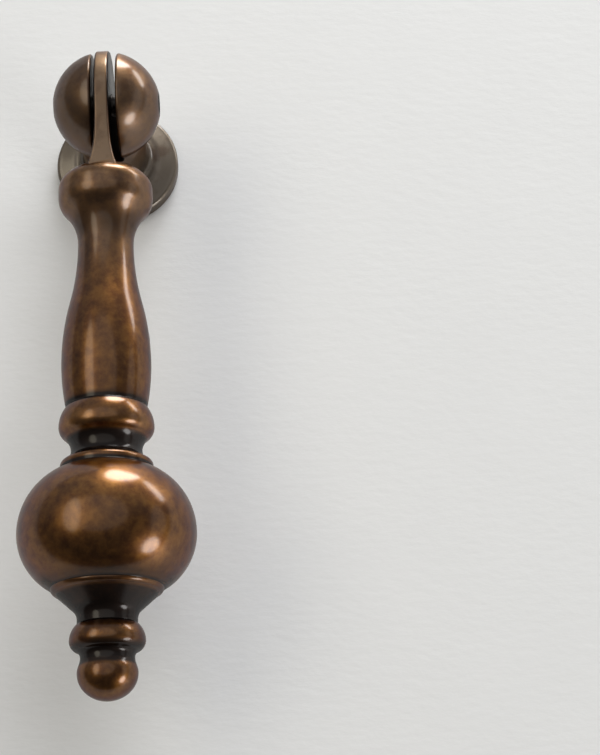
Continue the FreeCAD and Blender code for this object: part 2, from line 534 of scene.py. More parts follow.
class OutlineWearAndShade:
    """Darkness in the hollows, partly the patina's black and partly painted shade, and rub on the swells,
    along an outline, from how far it stands out. Sizes in millimetres.
    """

    step: float = 0.05
    near_spread: float = 0.4
    wide_spread: float = 1.6
    near_hollow: float = 0.07
    wide_hollow: float = 0.45
    near_grime_and_shade: float = 0.65
    wide_grime_and_shade: float = 0.75
    near_swell: float = 0.12
    wide_swell: float = 0.5
    near_rub: float = 0.25
    wide_rub: float = 0.45

    def __init__(self, outline: Outline) -> None:
        """Sample the outline evenly and compare it with its averages.

        Args:
            outline: Half section whose points run with the solid on their right.
        """
        points = np.array([tuple(point) for point in outline.rounded()[0]])
        lengths = np.concatenate([[0.0], np.cumsum(np.linalg.norm(np.diff(points, axis=0), axis=1))])
        even = np.arange(0.0, lengths[-1], self.step)
        path = np.column_stack([np.interp(even, lengths, points[:, i]) for i in (0, 1)])
        along = np.gradient(path, axis=0)
        along /= np.linalg.norm(along, axis=1)[:, None]
        outward = np.column_stack([-along[:, 1], along[:, 0]])
        near = self._stand_out(path, outward, self.near_spread / self.step)
        wide = self._stand_out(path, outward, self.wide_spread / self.step)
        # Hollows turn near black: partly the patina's real black, partly painted shade
        self.grime_and_shade = np.clip(-near / self.near_hollow, 0, 1) * self.near_grime_and_shade
        self.grime_and_shade += np.clip(-wide / self.wide_hollow, 0, 1) * self.wide_grime_and_shade
        self.rub = np.clip(wide / self.wide_swell, 0, 1) * self.wide_rub
        self.rub += np.clip(near / self.near_swell, 0, 1) * self.near_rub
        self.tree = KDTree(len(path))
        for index, (radius, height) in enumerate(path):
            self.tree.insert((radius, height, 0.0), index)
        self.tree.balance()

    @staticmethod
    def _stand_out(path: np.ndarray, outward: np.ndarray, spread: float) -> np.ndarray:
        """Give how far each point stands out from an average of its neighbours.

        Args:
            path: Evenly spaced points.
            outward: Outward direction at each point.
            spread: Width of the average, in steps.

        Returns:
            Signed distance of each point, in millimetres.
        """
        half = int(3 * spread)
        weights = np.exp(-0.5 * (np.arange(-half, half + 1) / spread) ** 2)
        weights /= weights.sum()
        padded = np.pad(path, ((half, half), (0, 0)), mode="reflect", reflect_type="odd")
        smooth = np.column_stack([np.convolve(padded[:, i], weights, mode="valid") for i in (0, 1)])
        return ((path - smooth) * outward).sum(axis=1)

    def at(self, radius: float, height: float) -> tuple[float, float]:
        """Give the hollow's darkness, patina and painted shade together, and the rub at the outline's
        nearest point.
        """
        index = self.tree.find((radius, height, 0.0))[1]
        return float(min(1, self.grime_and_shade[index])), float(min(1, self.rub[index]))


@dataclass(frozen=True)
class Cloud:
    """Noise pattern, by its clouds in a metre, finer layers, their strength and scale along each axis."""

    scale: float
    detail: float
    roughness: float
    stretch: Colour = (1, 1, 1)


class Shading:
    """Short ways to add shader nodes to one material."""

    def __init__(self, name: str) -> None:
        """Start a material with an empty tree.

        Args:
            name: Name of the material.
        """
        self.material = bpy.data.materials.new(name)
        self.material.use_nodes = True
        self.tree = self.material.node_tree
        self.tree.nodes.clear()
        self.place = self.node("ShaderNodeTexCoord").outputs["Object"]

    def node(self, kind: str, *inputs: Any, **settings: Any) -> bpy.types.Node:
        """Add a node and fill its inputs in order."""
        return add_node(self.tree, kind, *inputs, **settings)

    def noise(self, cloud: Cloud) -> bpy.types.NodeSocket:
        """Add a cloud pattern.

        Args:
            cloud: Sizes of the pattern.

        Returns:
            The pattern's strength.
        """
        where = self.node("ShaderNodeMapping", self.place).outputs[0]
        where.node.inputs["Scale"].default_value = cloud.stretch
        noise = self.node("ShaderNodeTexNoise", where)
        noise.inputs["Scale"].default_value = cloud.scale
        noise.inputs["Detail"].default_value = cloud.detail
        noise.inputs["Roughness"].default_value = cloud.roughness
        return noise.outputs["Fac"]

    def math(self, operation: str, *inputs: Any) -> bpy.types.NodeSocket:
        """Add a sum of numbers."""
        return self.node("ShaderNodeMath", *inputs, operation=operation).outputs[0]

    def step(self, value: Any, low: float, high: float) -> bpy.types.NodeSocket:
        """Add a smooth step from 0 at low to 1 at high."""
        node = self.node("ShaderNodeMapRange", value, low, high, interpolation_type="SMOOTHSTEP")
        return node.outputs[0]

    def mix(self, share: Any, first: Any, second: Any) -> bpy.types.NodeSocket:
        """Mix two colours.

        Args:
            share: Share of the second colour.
            first: First colour or pattern.
            second: Second colour or pattern.

        Returns:
            The mixed colour.
        """
        first = (*first, 1.0) if isinstance(first, tuple) else first
        second = (*second, 1.0) if isinstance(second, tuple) else second
        return self.node("ShaderNodeMix", share, first, second, data_type="RGBA").outputs["Result"]

    def attribute(self, name: str) -> bpy.types.NodeSocket:
        """Read a number stored on the mesh."""
        return self.node("ShaderNodeAttribute", attribute_name=name).outputs["Fac"]

    def bump(self, height: bpy.types.NodeSocket, depth: float) -> bpy.types.NodeSocket:
        """Add bumps.

        Args:
            height: Pattern of the bumps.
            depth: How far the pattern stands out, in millimetres.

        Returns:
            The bumped normal.
        """
        bump = self.node("ShaderNodeBump")
        bump.inputs["Strength"].default_value = 1.0
        bump.inputs["Distance"].default_value = depth * MM
        self.tree.links.new(height, bump.inputs["Height"])
        return bump.outputs[0]

    def principled(self, linked: dict[str, bpy.types.NodeSocket], fixed: dict[str, Any]) -> bpy.types.Node:
        """Add the main shader.

        Args:
            linked: Pattern of each input that varies.
            fixed: Value of each input that is the same all over.

        Returns:
            The shader.
        """
        shader = self.node("ShaderNodeBsdfPrincipled")
        for name, value in fixed.items():
            shader.inputs[name].default_value = value
        for name, pattern in linked.items():
            self.tree.links.new(pattern, shader.inputs[name])
        return shader

    def surface(self, shader: bpy.types.Node) -> bpy.types.Material:
        """Set the material's surface and give the material."""
        self.node("ShaderNodeOutputMaterial", shader.outputs[0])
        return self.material


@dataclass(frozen=True)
class AgedBrass:
    """Brown lacquered patina, black in the hollows and where shade is painted, and rubbed to copper gold on
    the high places.
    """

    name: str = "aged_brass"
    patina: Colour = (0.205, 0.087, 0.019)
    patina_dark: Colour = (0.096, 0.034, 0.008)
    stain: Colour = (0.058, 0.020, 0.008)
    rubbed: Colour = (0.41, 0.205, 0.070)
    # Near black of the patina in hollows, also used as painted shade in slots, holes, corners and undersides
    grime_and_shade: Colour = (0.016, 0.010, 0.008)
    haze: Colour = (0.158, 0.130, 0.101)
    roughness: float = 0.36
    edge: Colour = (0.26, 0.19, 0.12)
    coat: float = 0.54
    coat_ior: float = 1.7
    coat_roughness: float = 0.16
    coat_loss: float = 0.3
    broad: Cloud = Cloud(150, 3, 0.5)
    blotch: Cloud = Cloud(800, 5, 0.66)
    patch: Cloud = Cloud(300, 4, 0.6)
    grain: Cloud = Cloud(5200, 2, 0.6)
    wobble: Cloud = Cloud(260, 1, 0.4)
    drift: float = 0.6
    speckle: float = 0.4
    rub_span: Span = (0.12, 1.05)
    grime_and_shade_span: Span = (0.18, 0.85)
    patina_span: Span = (0.28, 0.72)
    stain_span: Span = (0.5, 0.66)
    stain_share: float = 0.42
    gloss_spread: float = 0.16
    grime_and_shade_dulling: float = 0.22
    haze_dulling: float = 0.1
    rub_polish: float = 0.05
    pit_span: Span = (0.62, 0.75)
    pit_depth: float = 0.12
    blotch_height: float = 0.35
    bump_depth: float = 0.03

    def build(self) -> bpy.types.Material:
        """Make the material.

        Returns:
            A metal whose colour, gloss and bumps vary with its wear.
        """
        shading = Shading(self.name)
        blotch = shading.noise(self.blotch)
        haze = shading.attribute("haze")

        # Where the surface is rubbed bright, and where the patina's black and painted shade darken it
        drift = shading.math("MULTIPLY_ADD", shading.noise(self.broad), self.drift, -self.drift / 2)
        speckle = shading.math("MULTIPLY_ADD", blotch, self.speckle, -self.speckle / 2)
        uneven = shading.math("ADD", drift, speckle)
        rub = shading.step(shading.math("ADD", shading.attribute("rub"), uneven), *self.rub_span)
        grime_and_shade = shading.step(shading.math("ADD", shading.attribute("grime_and_shade"), uneven), *self.grime_and_shade_span)

        # Colour
        body = shading.mix(shading.step(blotch, *self.patina_span), self.patina_dark, self.patina)
        dusty = shading.mix(haze, shading.mix(rub, body, self.rubbed), self.haze)
        patch = shading.step(shading.noise(self.patch), *self.stain_span)
        stained = shading.math("MULTIPLY", patch, self.stain_share)
        # Last comes the near black: the hollows' patina and painted shade
        colour = shading.mix(grime_and_shade, shading.mix(stained, dusty, self.stain), self.grime_and_shade)

        # Gloss, duller and with a thinner coat where the hollows' black and painted shade lie
        smoothest = self.roughness - self.gloss_spread / 2
        gloss = shading.math("MULTIPLY_ADD", blotch, self.gloss_spread, smoothest)
        changes = ((grime_and_shade, self.grime_and_shade_dulling), (haze, self.haze_dulling), (rub, -self.rub_polish))
        for share, change in changes:
            gloss = shading.math("MULTIPLY_ADD", share, change, gloss)
        coat = shading.math("MULTIPLY_ADD", grime_and_shade, -self.coat_loss * self.coat, self.coat)

        # Uneven casting under fine pits
        pitted = shading.step(shading.noise(self.grain), *self.pit_span)
        pits = shading.math("MULTIPLY", pitted, -self.pit_depth)
        casting = shading.math("ADD", shading.noise(self.wobble), pits)
        height = shading.math("MULTIPLY_ADD", blotch, self.blotch_height, casting)
        bumped = shading.bump(height, self.bump_depth)

        linked = {"Base Color": colour, "Roughness": gloss, "Normal": bumped, "Coat Weight": coat}
        fixed = {
            "Metallic": 1.0,
            "Specular Tint": (*self.edge, 1.0),
            "Coat IOR": self.coat_ior,
            "Coat Roughness": self.coat_roughness,
        }
        return shading.surface(shading.principled(linked, fixed))


@dataclass(frozen=True)
class PinSteel:
    """Dull steel of the hinge pin, darkened at its ends."""

    name: str = "pin_steel"
    steel: Colour = (0.20, 0.19, 0.18)
    stain: Colour = (0.035, 0.028, 0.024)
    roughness: float = 0.38
    cloud: Cloud = Cloud(900, 4, 0.6)
    lines: Cloud = Cloud(500, 2, 0.7, (16, 1, 1))
    stain_span: Span = (0.4, 0.66)
    stain_dulling: float = 0.25
    bump_depth: float = 0.008

    def build(self) -> bpy.types.Material:
        """Make the material.

        Returns:
            A metal with brown stains and fine turning lines.
        """
        shading = Shading(self.name)
        stained = shading.step(shading.noise(self.cloud), *self.stain_span)
        linked = {
            "Base Color": shading.mix(stained, self.steel, self.stain),
            "Roughness": shading.math("MULTIPLY_ADD", stained, self.stain_dulling, self.roughness),
            "Normal": shading.bump(shading.noise(self.lines), self.bump_depth),
        }
        return shading.surface(shading.principled(linked, {"Metallic": 1.0}))


@dataclass(frozen=True)
class WallPaint:
    """Pale eggshell paint with the fine stipple of a roller, seen from its front only."""

    name: str = "wall_paint"
    paint: Colour = (0.83, 0.84, 0.85)
    shade: Colour = (0.805, 0.815, 0.825)
    roughness: float = 0.6
    cloud: Cloud = Cloud(120, 3, 0.5)
    stipple: Cloud = Cloud(1100, 3, 0.55, (0.45, 1, 1))
    bump_depth: float = 0.028

    def build(self) -> bpy.types.Material:
        """Make the material.

        Returns:
            A paint that lets the eye through from behind.
        """
        shading = Shading(self.name)
        linked = {
            "Base Color": shading.mix(shading.noise(self.cloud), self.shade, self.paint),
            "Normal": shading.bump(shading.noise(self.stipple), self.bump_depth),
        }
        paint = shading.principled(linked, {"Roughness": self.roughness})
        clear = shading.node("ShaderNodeBsdfTransparent")
        behind = shading.node("ShaderNodeNewGeometry").outputs["Backfacing"]
        sides = shading.node("ShaderNodeMixShader", behind, paint.outputs[0], clear.outputs[0])
        return shading.surface(sides)


@dataclass
class Post:
    """Post with a round foot, a neck and a slotted ball head. Sizes in millimetres, shares of rub, haze and
    painted shade from 0 to 1.
    """

    foot_radius: float = 6.7
    foot_rim: float = 1.6
    foot_edge_round: float = 0.5
    foot_face_rise: float = 0.5
    reach: float = 14.2
    neck_radius: float = 3.5
    neck_cove: float = 1.2
    head_radius: float = 5.6
    slot_half_width: float = 1.25
    slot_chamfer: float = 0.2
    slot_back: float = 5.95
    pin_radius: float = 1.1
    pin_hole_edge: float = 0.12
    bore_radius: float = 1.65
    bore_depth: float = 6.65
    bore_lead: float = 0.5
    thread_pitch: float = 0.7
    thread_depth: float = 0.36
    thread_end: float = 0.6
    segments: int = 144
    neck_overlap: float = 1.2
    bore_edge: float = 0.06
    foot_back_edge: float = 0.12
    foot_face_edge: float = 0.2
    slot_edge: float = 0.09
    slot_shoulder: float = 0.1
    # Painted shade: in the neck's two corners, over the left of the head, on the slot's walls and in the
    # tapped hole
    corner_painted_shade: float = 0.85
    corner_span: Span = (0.2, 2.2)
    cove_painted_shade: float = 0.5
    cove_span: Span = (0.3, 2.0)
    left_painted_shade: float = 0.42
    slot_left_painted_shade: float = 0.6
    slot_right_painted_shade: float = 1.0
    bore_painted_shade: float = 0.35
    front_rub: float = 0.1
    front_depth: float = 2.0
    cheek_rub: float = 0.15
    cheek_span: Span = (3.0, 5.4)
    head_clearing: float = 0.6

    @property
    def pin_place(self) -> Vector:
        """Middle of the hinge pin."""
        return Vector((0.0, -self.reach, 0.0))

    @property
    def head_back(self) -> float:
        """Height of the edge where the neck runs into the ball."""
        return self.reach - math.sqrt(self.head_radius ** 2 - self.neck_radius ** 2)

    def stem(self) -> Outline:
        """Draw the foot and neck with the tapped hole, standing on the foot.

        Returns:
            The outline from the end of the hole to the top of the neck.
        """
        cove_height = self.foot_rim + self.foot_face_rise
        cove_foot = Vector((self.neck_radius + self.neck_cove, cove_height))
        neck_foot = Vector((self.neck_radius, cove_height + self.neck_cove))
        neck_end = self.head_back + self.neck_overlap
        outline = Outline(0.0, self.bore_depth)
        outline.line(self.bore_radius, self.bore_depth)
        outline.line(self.bore_radius, self.bore_depth - self.thread_end)
        outline.line(self.bore_radius, self.bore_lead, thread=1.0)
        outline.line(self.bore_radius + self.bore_lead, 0.0).ease(self.bore_edge)
        outline.line(self.foot_radius, 0.0).ease(self.foot_back_edge)
        outline.line(self.foot_radius, self.foot_rim - self.foot_edge_round)
        face_edge = Vector((self.foot_radius - self.foot_edge_round, self.foot_rim))
        outline.arc(UP, face_edge).ease(self.foot_face_edge)
        outline.line(cove_foot.x, cove_foot.y)
        outline.arc_into(neck_foot, DOWN)
        return outline.line(self.neck_radius, neck_end).line(0.0, neck_end)

    def cheek(self) -> Outline:
        """Draw one cheek of the ball about the pin's axis, with the hole for the pin.

        Returns:
            The outline all around the cheek's section.
        """
        edge = math.asin(self.slot_half_width / self.head_radius)
        shoulder = edge + self.slot_chamfer / self.head_radius
        pole = math.acos(self.pin_radius / self.head_radius)
        outline = Outline(self.pin_radius, self.slot_half_width)
        brink = self.head_radius * math.cos(edge) - self.slot_chamfer
        outline.line(brink, self.slot_half_width).ease(self.slot_edge)
        outline.line(self.head_radius * math.cos(shoulder), self.head_radius * math.sin(shoulder))
        outline.ease(self.slot_shoulder)
        leave = Vector((-math.sin(shoulder), math.cos(shoulder)))
        end = Vector((self.pin_radius, self.head_radius * math.sin(pole)))
        outline.arc(leave, end).ease(self.pin_hole_edge)
        return outline.line(self.pin_radius, self.slot_half_width)

    def slot(self) -> bpy.types.Object:
        """Make the block that is cut out of the neck for the tongue.

        Returns:
            A closed block, a hair wider than the space between the cheeks.
        """
        half = self.slot_half_width + JOINT_STEP
        back = self.slot_back - self.reach
        shape = bmesh.new()
        bmesh.ops.create_cube(shape, size=1.0)
        size = Vector((2 * half, 2 * self.head_radius, 4 * self.head_radius))
        bmesh.ops.scale(shape, vec=size * MM, verts=shape.verts)
        middle = Vector((0.0, back - self.head_radius, 0.0))
        bmesh.ops.translate(shape, vec=middle * MM, verts=shape.verts)
        return shaped("slot", shape)

    def wear_and_shade(self, point: Vector) -> tuple[float, float, float]:
        """Judge how shaded, rubbed and hazed the post is at a point, the shade being painted into its
        colour.

        Args:
            point: Point on the post, in millimetres.

        Returns:
            Painted shade, rub and haze, from 0 to 1.
        """
        head = point - self.pin_place
        across = math.hypot(head.y, head.z)
        along = -point.y
        around = math.hypot(point.x, point.z)
        foot_face = self.foot_rim + self.foot_face_rise

        # Painted shade, first in the corners where the neck meets the ball and the foot, then over the left
        # of the head, on the slot's walls, round the pin and in the tapped hole
        corner = math.hypot(around - self.neck_radius, along - self.head_back)
        cove = math.hypot(around - self.neck_radius, along - foot_face)
        grime_and_shade = self.corner_painted_shade * (1 - ramp(corner, *self.corner_span))
        grime_and_shade = max(grime_and_shade, self.cove_painted_shade * (1 - ramp(cove, *self.cove_span)))
        # Painted shade over the left of the head, the side away from the lamps
        if point.x < 0 and along > self.head_back:
            grime_and_shade = max(grime_and_shade, self.left_painted_shade)
        # Painted shade on the slot's walls, darkest on the right where the gap beside the tongue looks black
        slot_wall = self.slot_half_width + 3 * JOINT_STEP
        if abs(point.x) < slot_wall and along > self.reach - self.slot_back - NEAR:
            grime_and_shade = max(grime_and_shade, self.slot_right_painted_shade if point.x > 0 else self.slot_left_painted_shade)
        # Painted shade round the pin, where it sits in its hole
        if across < self.pin_radius + 2 * NEAR and head.length < self.head_radius + NEAR:
            grime_and_shade = 1.0
        # Painted shade in the tapped hole
        bore_wall = self.bore_radius + self.thread_depth + 2 * NEAR
        if around < bore_wall and along < self.bore_depth + NEAR:
            grime_and_shade = max(grime_and_shade, self.bore_painted_shade)

        # Rub on the head only, and haze that clears from the foot to the head
        rub = self.cheek_rub * ramp(across, *self.cheek_span)
        rub += self.front_rub * ramp(along, self.reach - self.front_depth, self.reach + self.head_radius)
        haze = 1 - self.head_clearing * ramp(along, foot_face, self.head_back)
        return grime_and_shade, rub if along > self.head_back else 0.0, haze

    def make(self, turning: TurningTree, finish: bpy.types.Material) -> bpy.types.Object:
        """Turn the foot, neck and cheeks, join them and dress them.

        Args:
            turning: Tree that turns the outlines.
            finish: Material of the post.

        Returns:
            The finished piece.
        """
        piece = turning.turn(
            "turned_post",
            self.stem(),
            Axis.FORWARD,
            Vector((0.0, 0.0, 0.0)),
            finish,
            segments=self.segments,
            pitch=self.thread_pitch,
            depth=self.thread_depth,
        )
        combine(piece, self.slot(), Joining.CUT)
        for axis in (Axis.LEFT, Axis.RIGHT):
            cheek = turning.turn("cheek", self.cheek(), axis, self.pin_place, finish)
            combine(piece, cheek, Joining.ADD)
        dress(piece.data, finish)
        mark_wear_and_shade(piece.data, self.wear_and_shade)
        return piece


@dataclass
class HingePin:
    """Straight pin with bevelled ends, set a little below the ball's surface. Sizes in millimetres."""

    radius: float = 1.1
    length: float = 10.0
    bevel: float = 0.2
    edge: float = 0.05
    segments: int = 64

    def section(self) -> Outline:
        """Draw the pin along its axis.

        Returns:
            The outline from one end to the other.
        """
        half = self.length / 2
        shoulder = half - self.bevel
        end = self.radius - self.bevel
        outline = Outline(0.0, -half)
        for radius, height in ((end, -half), (self.radius, -shoulder), (self.radius, shoulder), (end, half)):
            outline.line(radius, height).ease(self.edge)
        return outline.line(0.0, half)

    def make(self, turning: TurningTree, place: Vector, finish: bpy.types.Material) -> bpy.types.Object:
        """Turn and dress the pin.

        Args:
            turning: Tree that turns the outline.
            place: Middle of the pin.
            finish: Material of the pin.

        Returns:
            The finished piece.
        """
        piece = turning.turn("bevelled_pin", self.section(), Axis.RIGHT, place, finish, self.segments)
        dress(piece.data, finish)
        return piece


@dataclass
class Drop:
    """Baluster drop with a round eye on a tongue. Sizes in millimetres, from the pin; shares of rub, haze,
    the hollows' black and painted shade from 0 to 1.
    """

    length: float = 62.05
    side_shift: float = -0.165
    eye_radius: float = 5.65
    eye_bore: float = 1.15
    eye_bore_edge: float = 0.1
    tongue_half_thickness: float = 0.725
    tongue_flare_from: float = 5.8
    tongue_flare: float = 0.9
    tongue_edge_round: float = 0.25
    tongue_root_inset: float = 0.6
    tongue_root_rise: float = 0.75
    dome_top: float = -7.35
    dome_height: float = 2.6
    bell_radius: float = 4.8
    bell_band: float = 0.9
    bell_fall: float = 5.1
    bell_turn_share: float = 0.3
    waist_radius: float = 2.8
    stem_turn_share: float = 0.5
    belly_radius: float = 4.42
    belly_fall: float = 4.6
    stem_end_radius: float = 3.95
    collar_radius: float = 4.65
    collar_rise: float = 2.0
    collar_fall: float = 2.4
    collar_turn_share: float = 0.4
    groove_radius: float = 3.45
    groove_fall: float = 1.05
    ring_radius: float = 4.5
    ring_height: float = 0.95
    ring_round: float = 0.5
    finial_radius: float = 8.55
    finial_rise: float = 6.25
    finial_fall: float = 5.3
    lip_radius: float = 5.35
    lip_height: float = 0.5
    lip_step: float = 0.4
    cone_height: float = 2.5
    cone_cove: float = 1.3
    lower_neck_radius: float = 2.85
    lower_neck_height: float = 0.4
    bead_radius: float = 3.575
    bead_rise: float = 1.6
    bead_fall: float = 1.55
    bead_turn_share: float = 0.6
    tip_neck_radius: float = 2.55
    tip_radius: float = 2.85
    tip_rise: float = 1.45
    tip_fall: float = 2.55
    tip_turn_share: float = 0.5
    quirk_ease: float = 0.06
    skin: float = 0.02
    dome_brink: float = 0.999
    dome_shoulder: float = 0.4
    # Painted shade where the tongue meets the dome, on the cone under the finial, less on its lip, and under
    # the bead; below the bead the rub fades, so the lower end is darker
    root_painted_shade: float = 0.3
    root_span: Span = (0.6, 2.6)
    cone_painted_shade: float = 0.8
    cone_top_span: Span = (-2.4, 0.6)
    cone_foot_span: Span = (-0.3, 0.4)
    lip_clearing: float = 0.35
    lip_span: Span = (0.25, 0.55)
    under_painted_shade: float = 0.75
    under_top_span: Span = (-0.4, 0.9)
    under_foot_span: Span = (0.3, 0.9)
    low_span: Span = (-0.4, 0.4)
    low_loss: float = 0.7
    bell_haze: float = 0.28
    bell_haze_falls: float = 2.5
    # Width of the painted shade round the eye
    eye_painted_shade_width: float = 0.3
    rim_span: Span = (0.02, 0.3)
    rim_rub: float = 0.8
    rim_haze: float = 0.7
    bared_span: Span = (-0.3, 0.7)
    bared_clearing: float = 0.7
    bared_haze: float = 0.3
    rib_steps: int = 24
    edge_steps: int = 8

    @property
    def bell_height(self) -> float:
        """Height of the foot of the dome."""
        return self.dome_top - self.dome_height

    @property
    def tip_top(self) -> float:
        """Height of the thick of the tip, worked from its end up."""
        return self.tip_fall - self.length

    @property
    def bead_height(self) -> float:
        """Height of the thick of the bead."""
        return self.tip_top + self.tip_rise + self.bead_fall

    @property
    def bead_top(self) -> float:
        """Height of the top of the bead."""
        return self.bead_height + self.bead_rise

    @property
    def lip_top(self) -> float:
        """Height at which the finial meets the lip of the cone."""
        return self.bead_top + self.lower_neck_height + self.cone_height + self.lip_height

    def baluster(self) -> Outline:
        """Draw the turned part from the top of the dome to the tip.

        Returns:
            The outline, with its inner corners a little filled.
        """
        # Upper heights from the pin down
        bell = Vector((self.bell_radius, self.bell_height))
        waist = Vector((self.waist_radius, self.bell_height - self.bell_band - self.bell_fall))

        # Lower heights from the tip up
        tip_end = Vector((0.0, -self.length))
        tip = Vector((self.tip_radius, tip_end.y + self.tip_fall))
        tip_neck = Vector((self.tip_neck_radius, tip.y + self.tip_rise))
        bead = Vector((self.bead_radius, tip_neck.y + self.bead_fall))
        bead_top = Vector((self.lower_neck_radius, bead.y + self.bead_rise))
        lower_neck = bead_top + UP * self.lower_neck_height
        lip_end = Vector((self.lip_radius - self.lip_step, lower_neck.y + self.cone_height))
        lip = Vector((self.lip_radius, lip_end.y + self.lip_height))
        finial = Vector((self.finial_radius, lip.y + self.finial_fall))
        ring_end = Vector((self.ring_radius, finial.y + self.finial_rise))
        ring_top = Vector((self.ring_radius - self.ring_round, ring_end.y + self.ring_height))
        ring_edge = Vector((self.ring_radius, ring_top.y - self.ring_round))
        groove = Vector((self.groove_radius, ring_top.y + self.groove_fall))
        collar = Vector((self.collar_radius, groove.y + self.collar_fall))
        stem_end = Vector((self.stem_end_radius, collar.y + self.collar_rise))
        belly = Vector((self.belly_radius, stem_end.y + self.belly_fall))

        outline = Outline(0.0, self.dome_top)
        outline.quarter(bell, level_first=True).line(bell.x, bell.y - self.bell_band)
        outline.ogee(waist, self.bell_turn_share).ogee(belly, self.stem_turn_share)
        outline.arc(DOWN, stem_end).ease(self.quirk_ease)
        outline.arc_into(collar, UP).ogee(groove, self.collar_turn_share)
        outline.arc(DOWN, ring_top).ease(self.quirk_ease)
        outline.arc_into(ring_edge, UP).line(ring_end.x, ring_end.y).ease(self.quirk_ease)
        outline.arc_into(finial, UP).arc(DOWN, lip).ease(self.quirk_ease)
        outline.arc(DOWN, lip_end).ease(self.quirk_ease)
        outline.cove(lower_neck, self.cone_cove).line(bead_top.x, bead_top.y).ease(self.quirk_ease)
        outline.arc_into(bead, UP).ogee(tip_neck, self.bead_turn_share).ogee(tip, self.tip_turn_share)
        return outline.quarter(tip_end, level_first=False)

    def dome(self, radius: float) -> float:
        """Height of the dome at a radius."""
        share = min(self.dome_brink, radius / self.bell_radius)
        return self.bell_height + self.dome_height * math.sqrt(1 - share * share)

    @property
    def tongue_foot(self) -> Vector:
        """Depth and height of the corner of the tongue's root."""
        return Vector((self.bell_radius - self.tongue_root_inset, self.bell_height + self.tongue_root_rise))

    def tongue_outline(self) -> list[Vector]:
        """Go round the tongue across the pin: down one shoulder, over the root and up the other to the eye.

        Returns:
            Points of depth and height, starting and ending at the top of the eye.
        """
        foot = self.tongue_foot
        hollow = (foot.length_squared - self.eye_radius ** 2) / (2 * (self.eye_radius - foot.x))
        centre = foot + Vector((hollow, 0.0))
        touch = centre * (self.eye_radius / centre.length)
        side = Outline(0.0, self.eye_radius)
        side.arc(Vector((1.0, 0.0)), Vector((self.eye_radius, 0.0))).arc(DOWN, touch)
        side.arc_into(foot, UP).line(0.0, foot.y)
        other = [Vector((-point.x, point.y)) for point in side.points[-2:0:-1]]
        return side.points + other

    def flank(self, reach: float) -> float:
        """Work out half the tongue's thickness.

        Args:
            reach: Distance from the pin.

        Returns:
            Half the thickness there.
        """
        run = self.tongue_foot.length - self.tongue_flare_from
        bend = (run ** 2 + self.tongue_flare ** 2) / (2 * self.tongue_flare)
        beyond = max(0.0, reach - self.tongue_flare_from)
        return self.tongue_half_thickness + bend - math.sqrt(bend ** 2 - beyond ** 2)

    def tongue_rib(self, point: Vector, out: Vector) -> list[Vector]:
        """Go round the tongue's section from its bore to one point of its outline and back.

        Args:
            point: Point of the outline, by depth and height.
            out: Way out of the outline there, longer at a corner so that both its sides keep their distance.

        Returns:
            Points in space, from the left end of the bore to its right end.
        """
        corner = self.tongue_edge_round
        inner = point - out * corner
        mouth = inner.normalized() * (self.eye_bore + self.eye_bore_edge)
        wall = inner.normalized() * self.eye_bore
        spots = [mouth.lerp(inner, step / self.rib_steps) for step in range(self.rib_steps + 1)]
        half = [(wall, self.tongue_half_thickness - self.eye_bore_edge)]
        half += [(spot, self.flank(spot.length)) for spot in spots]
        edge = self.flank(inner.length) - corner
        for step in range(1, self.edge_steps + 1):
            turn = math.radians(90 * step / self.edge_steps)
            half.append((inner + out * corner * math.sin(turn), edge + corner * math.cos(turn)))
        left = [Vector((-thick, *spot)) for spot, thick in half]
        right = [Vector((thick, *spot)) for spot, thick in reversed(half)]
        return left + right

    def tongue(self, place: Vector) -> bpy.types.Object:
        """Make the tongue as one closed ring of ribs around the bore.

        Args:
            place: Middle of the eye.

        Returns:
            A closed piece that reaches into the dome.
        """
        points = self.tongue_outline()
        shape = bmesh.new()
        ribs = []
        for index, point in enumerate(points):
            runs = (point - points[index - 1], points[(index + 1) % len(points)] - point)
            before, after = (Vector((-run.y, run.x)).normalized() for run in runs)
            out = (before + after) / (1 + before.dot(after))
            ribs.append([shape.verts.new((spot + place) * MM) for spot in self.tongue_rib(point, out)])
        for rib, last in zip(ribs, [ribs[-1], *ribs]):
            for index in range(len(rib)):
                shape.faces.new((last[index - 1], last[index], rib[index], rib[index - 1]))
        piece = shaped("tongue", shape)
        close(piece.data)
        return piece

    def turned_wear_and_shade(self, point: Vector, along: OutlineWearAndShade) -> tuple[float, float, float]:
        """Judge how dark, rubbed and hazed the turned part is at a point, the dark being the patina's black
        in hollows and painted shade.

        Args:
            point: Point on the turned part, in millimetres from the middle of the eye.
            along: Darkness of the hollows with painted shade, and rub, along the outline.

        Returns:
            Darkness from the hollows' black and painted shade, rub and haze, from 0 to 1.
        """
        height = point.z
        grime_and_shade, rub = along.at(math.hypot(point.x, point.y), height)
        # Painted shade where the tongue's root meets the dome
        if height > self.bell_height:
            grime_and_shade = max(grime_and_shade, self.root_painted_shade * (1 - ramp(abs(point.x), *self.root_span)))
        # Painted shade on the cone under the finial, lighter on the lip, and under the bead; the rub fades
        # below the bead's top
        lip_middle = self.lip_top - 0.5 * self.lip_height
        lip = 1 - ramp(abs(height - lip_middle), *self.lip_span)
        cone = ramp(self.lip_top - height, *self.cone_top_span)
        cone *= ramp(height - self.bead_top, *self.cone_foot_span)
        cone *= 1 - self.lip_clearing * lip
        under = ramp(self.bead_height - height, *self.under_top_span)
        under *= ramp(height - self.tip_top, *self.under_foot_span)
        low = ramp(self.bead_top - height, *self.low_span)
        below = self.bell_height - height
        dull = 1 - ramp(below, self.bell_fall, self.bell_haze_falls * self.bell_fall)
        grime_and_shade = max(grime_and_shade, self.cone_painted_shade * cone, self.under_painted_shade * under)
        return grime_and_shade, rub * (1 - max(cone, self.low_loss * low)), self.bell_haze * dull

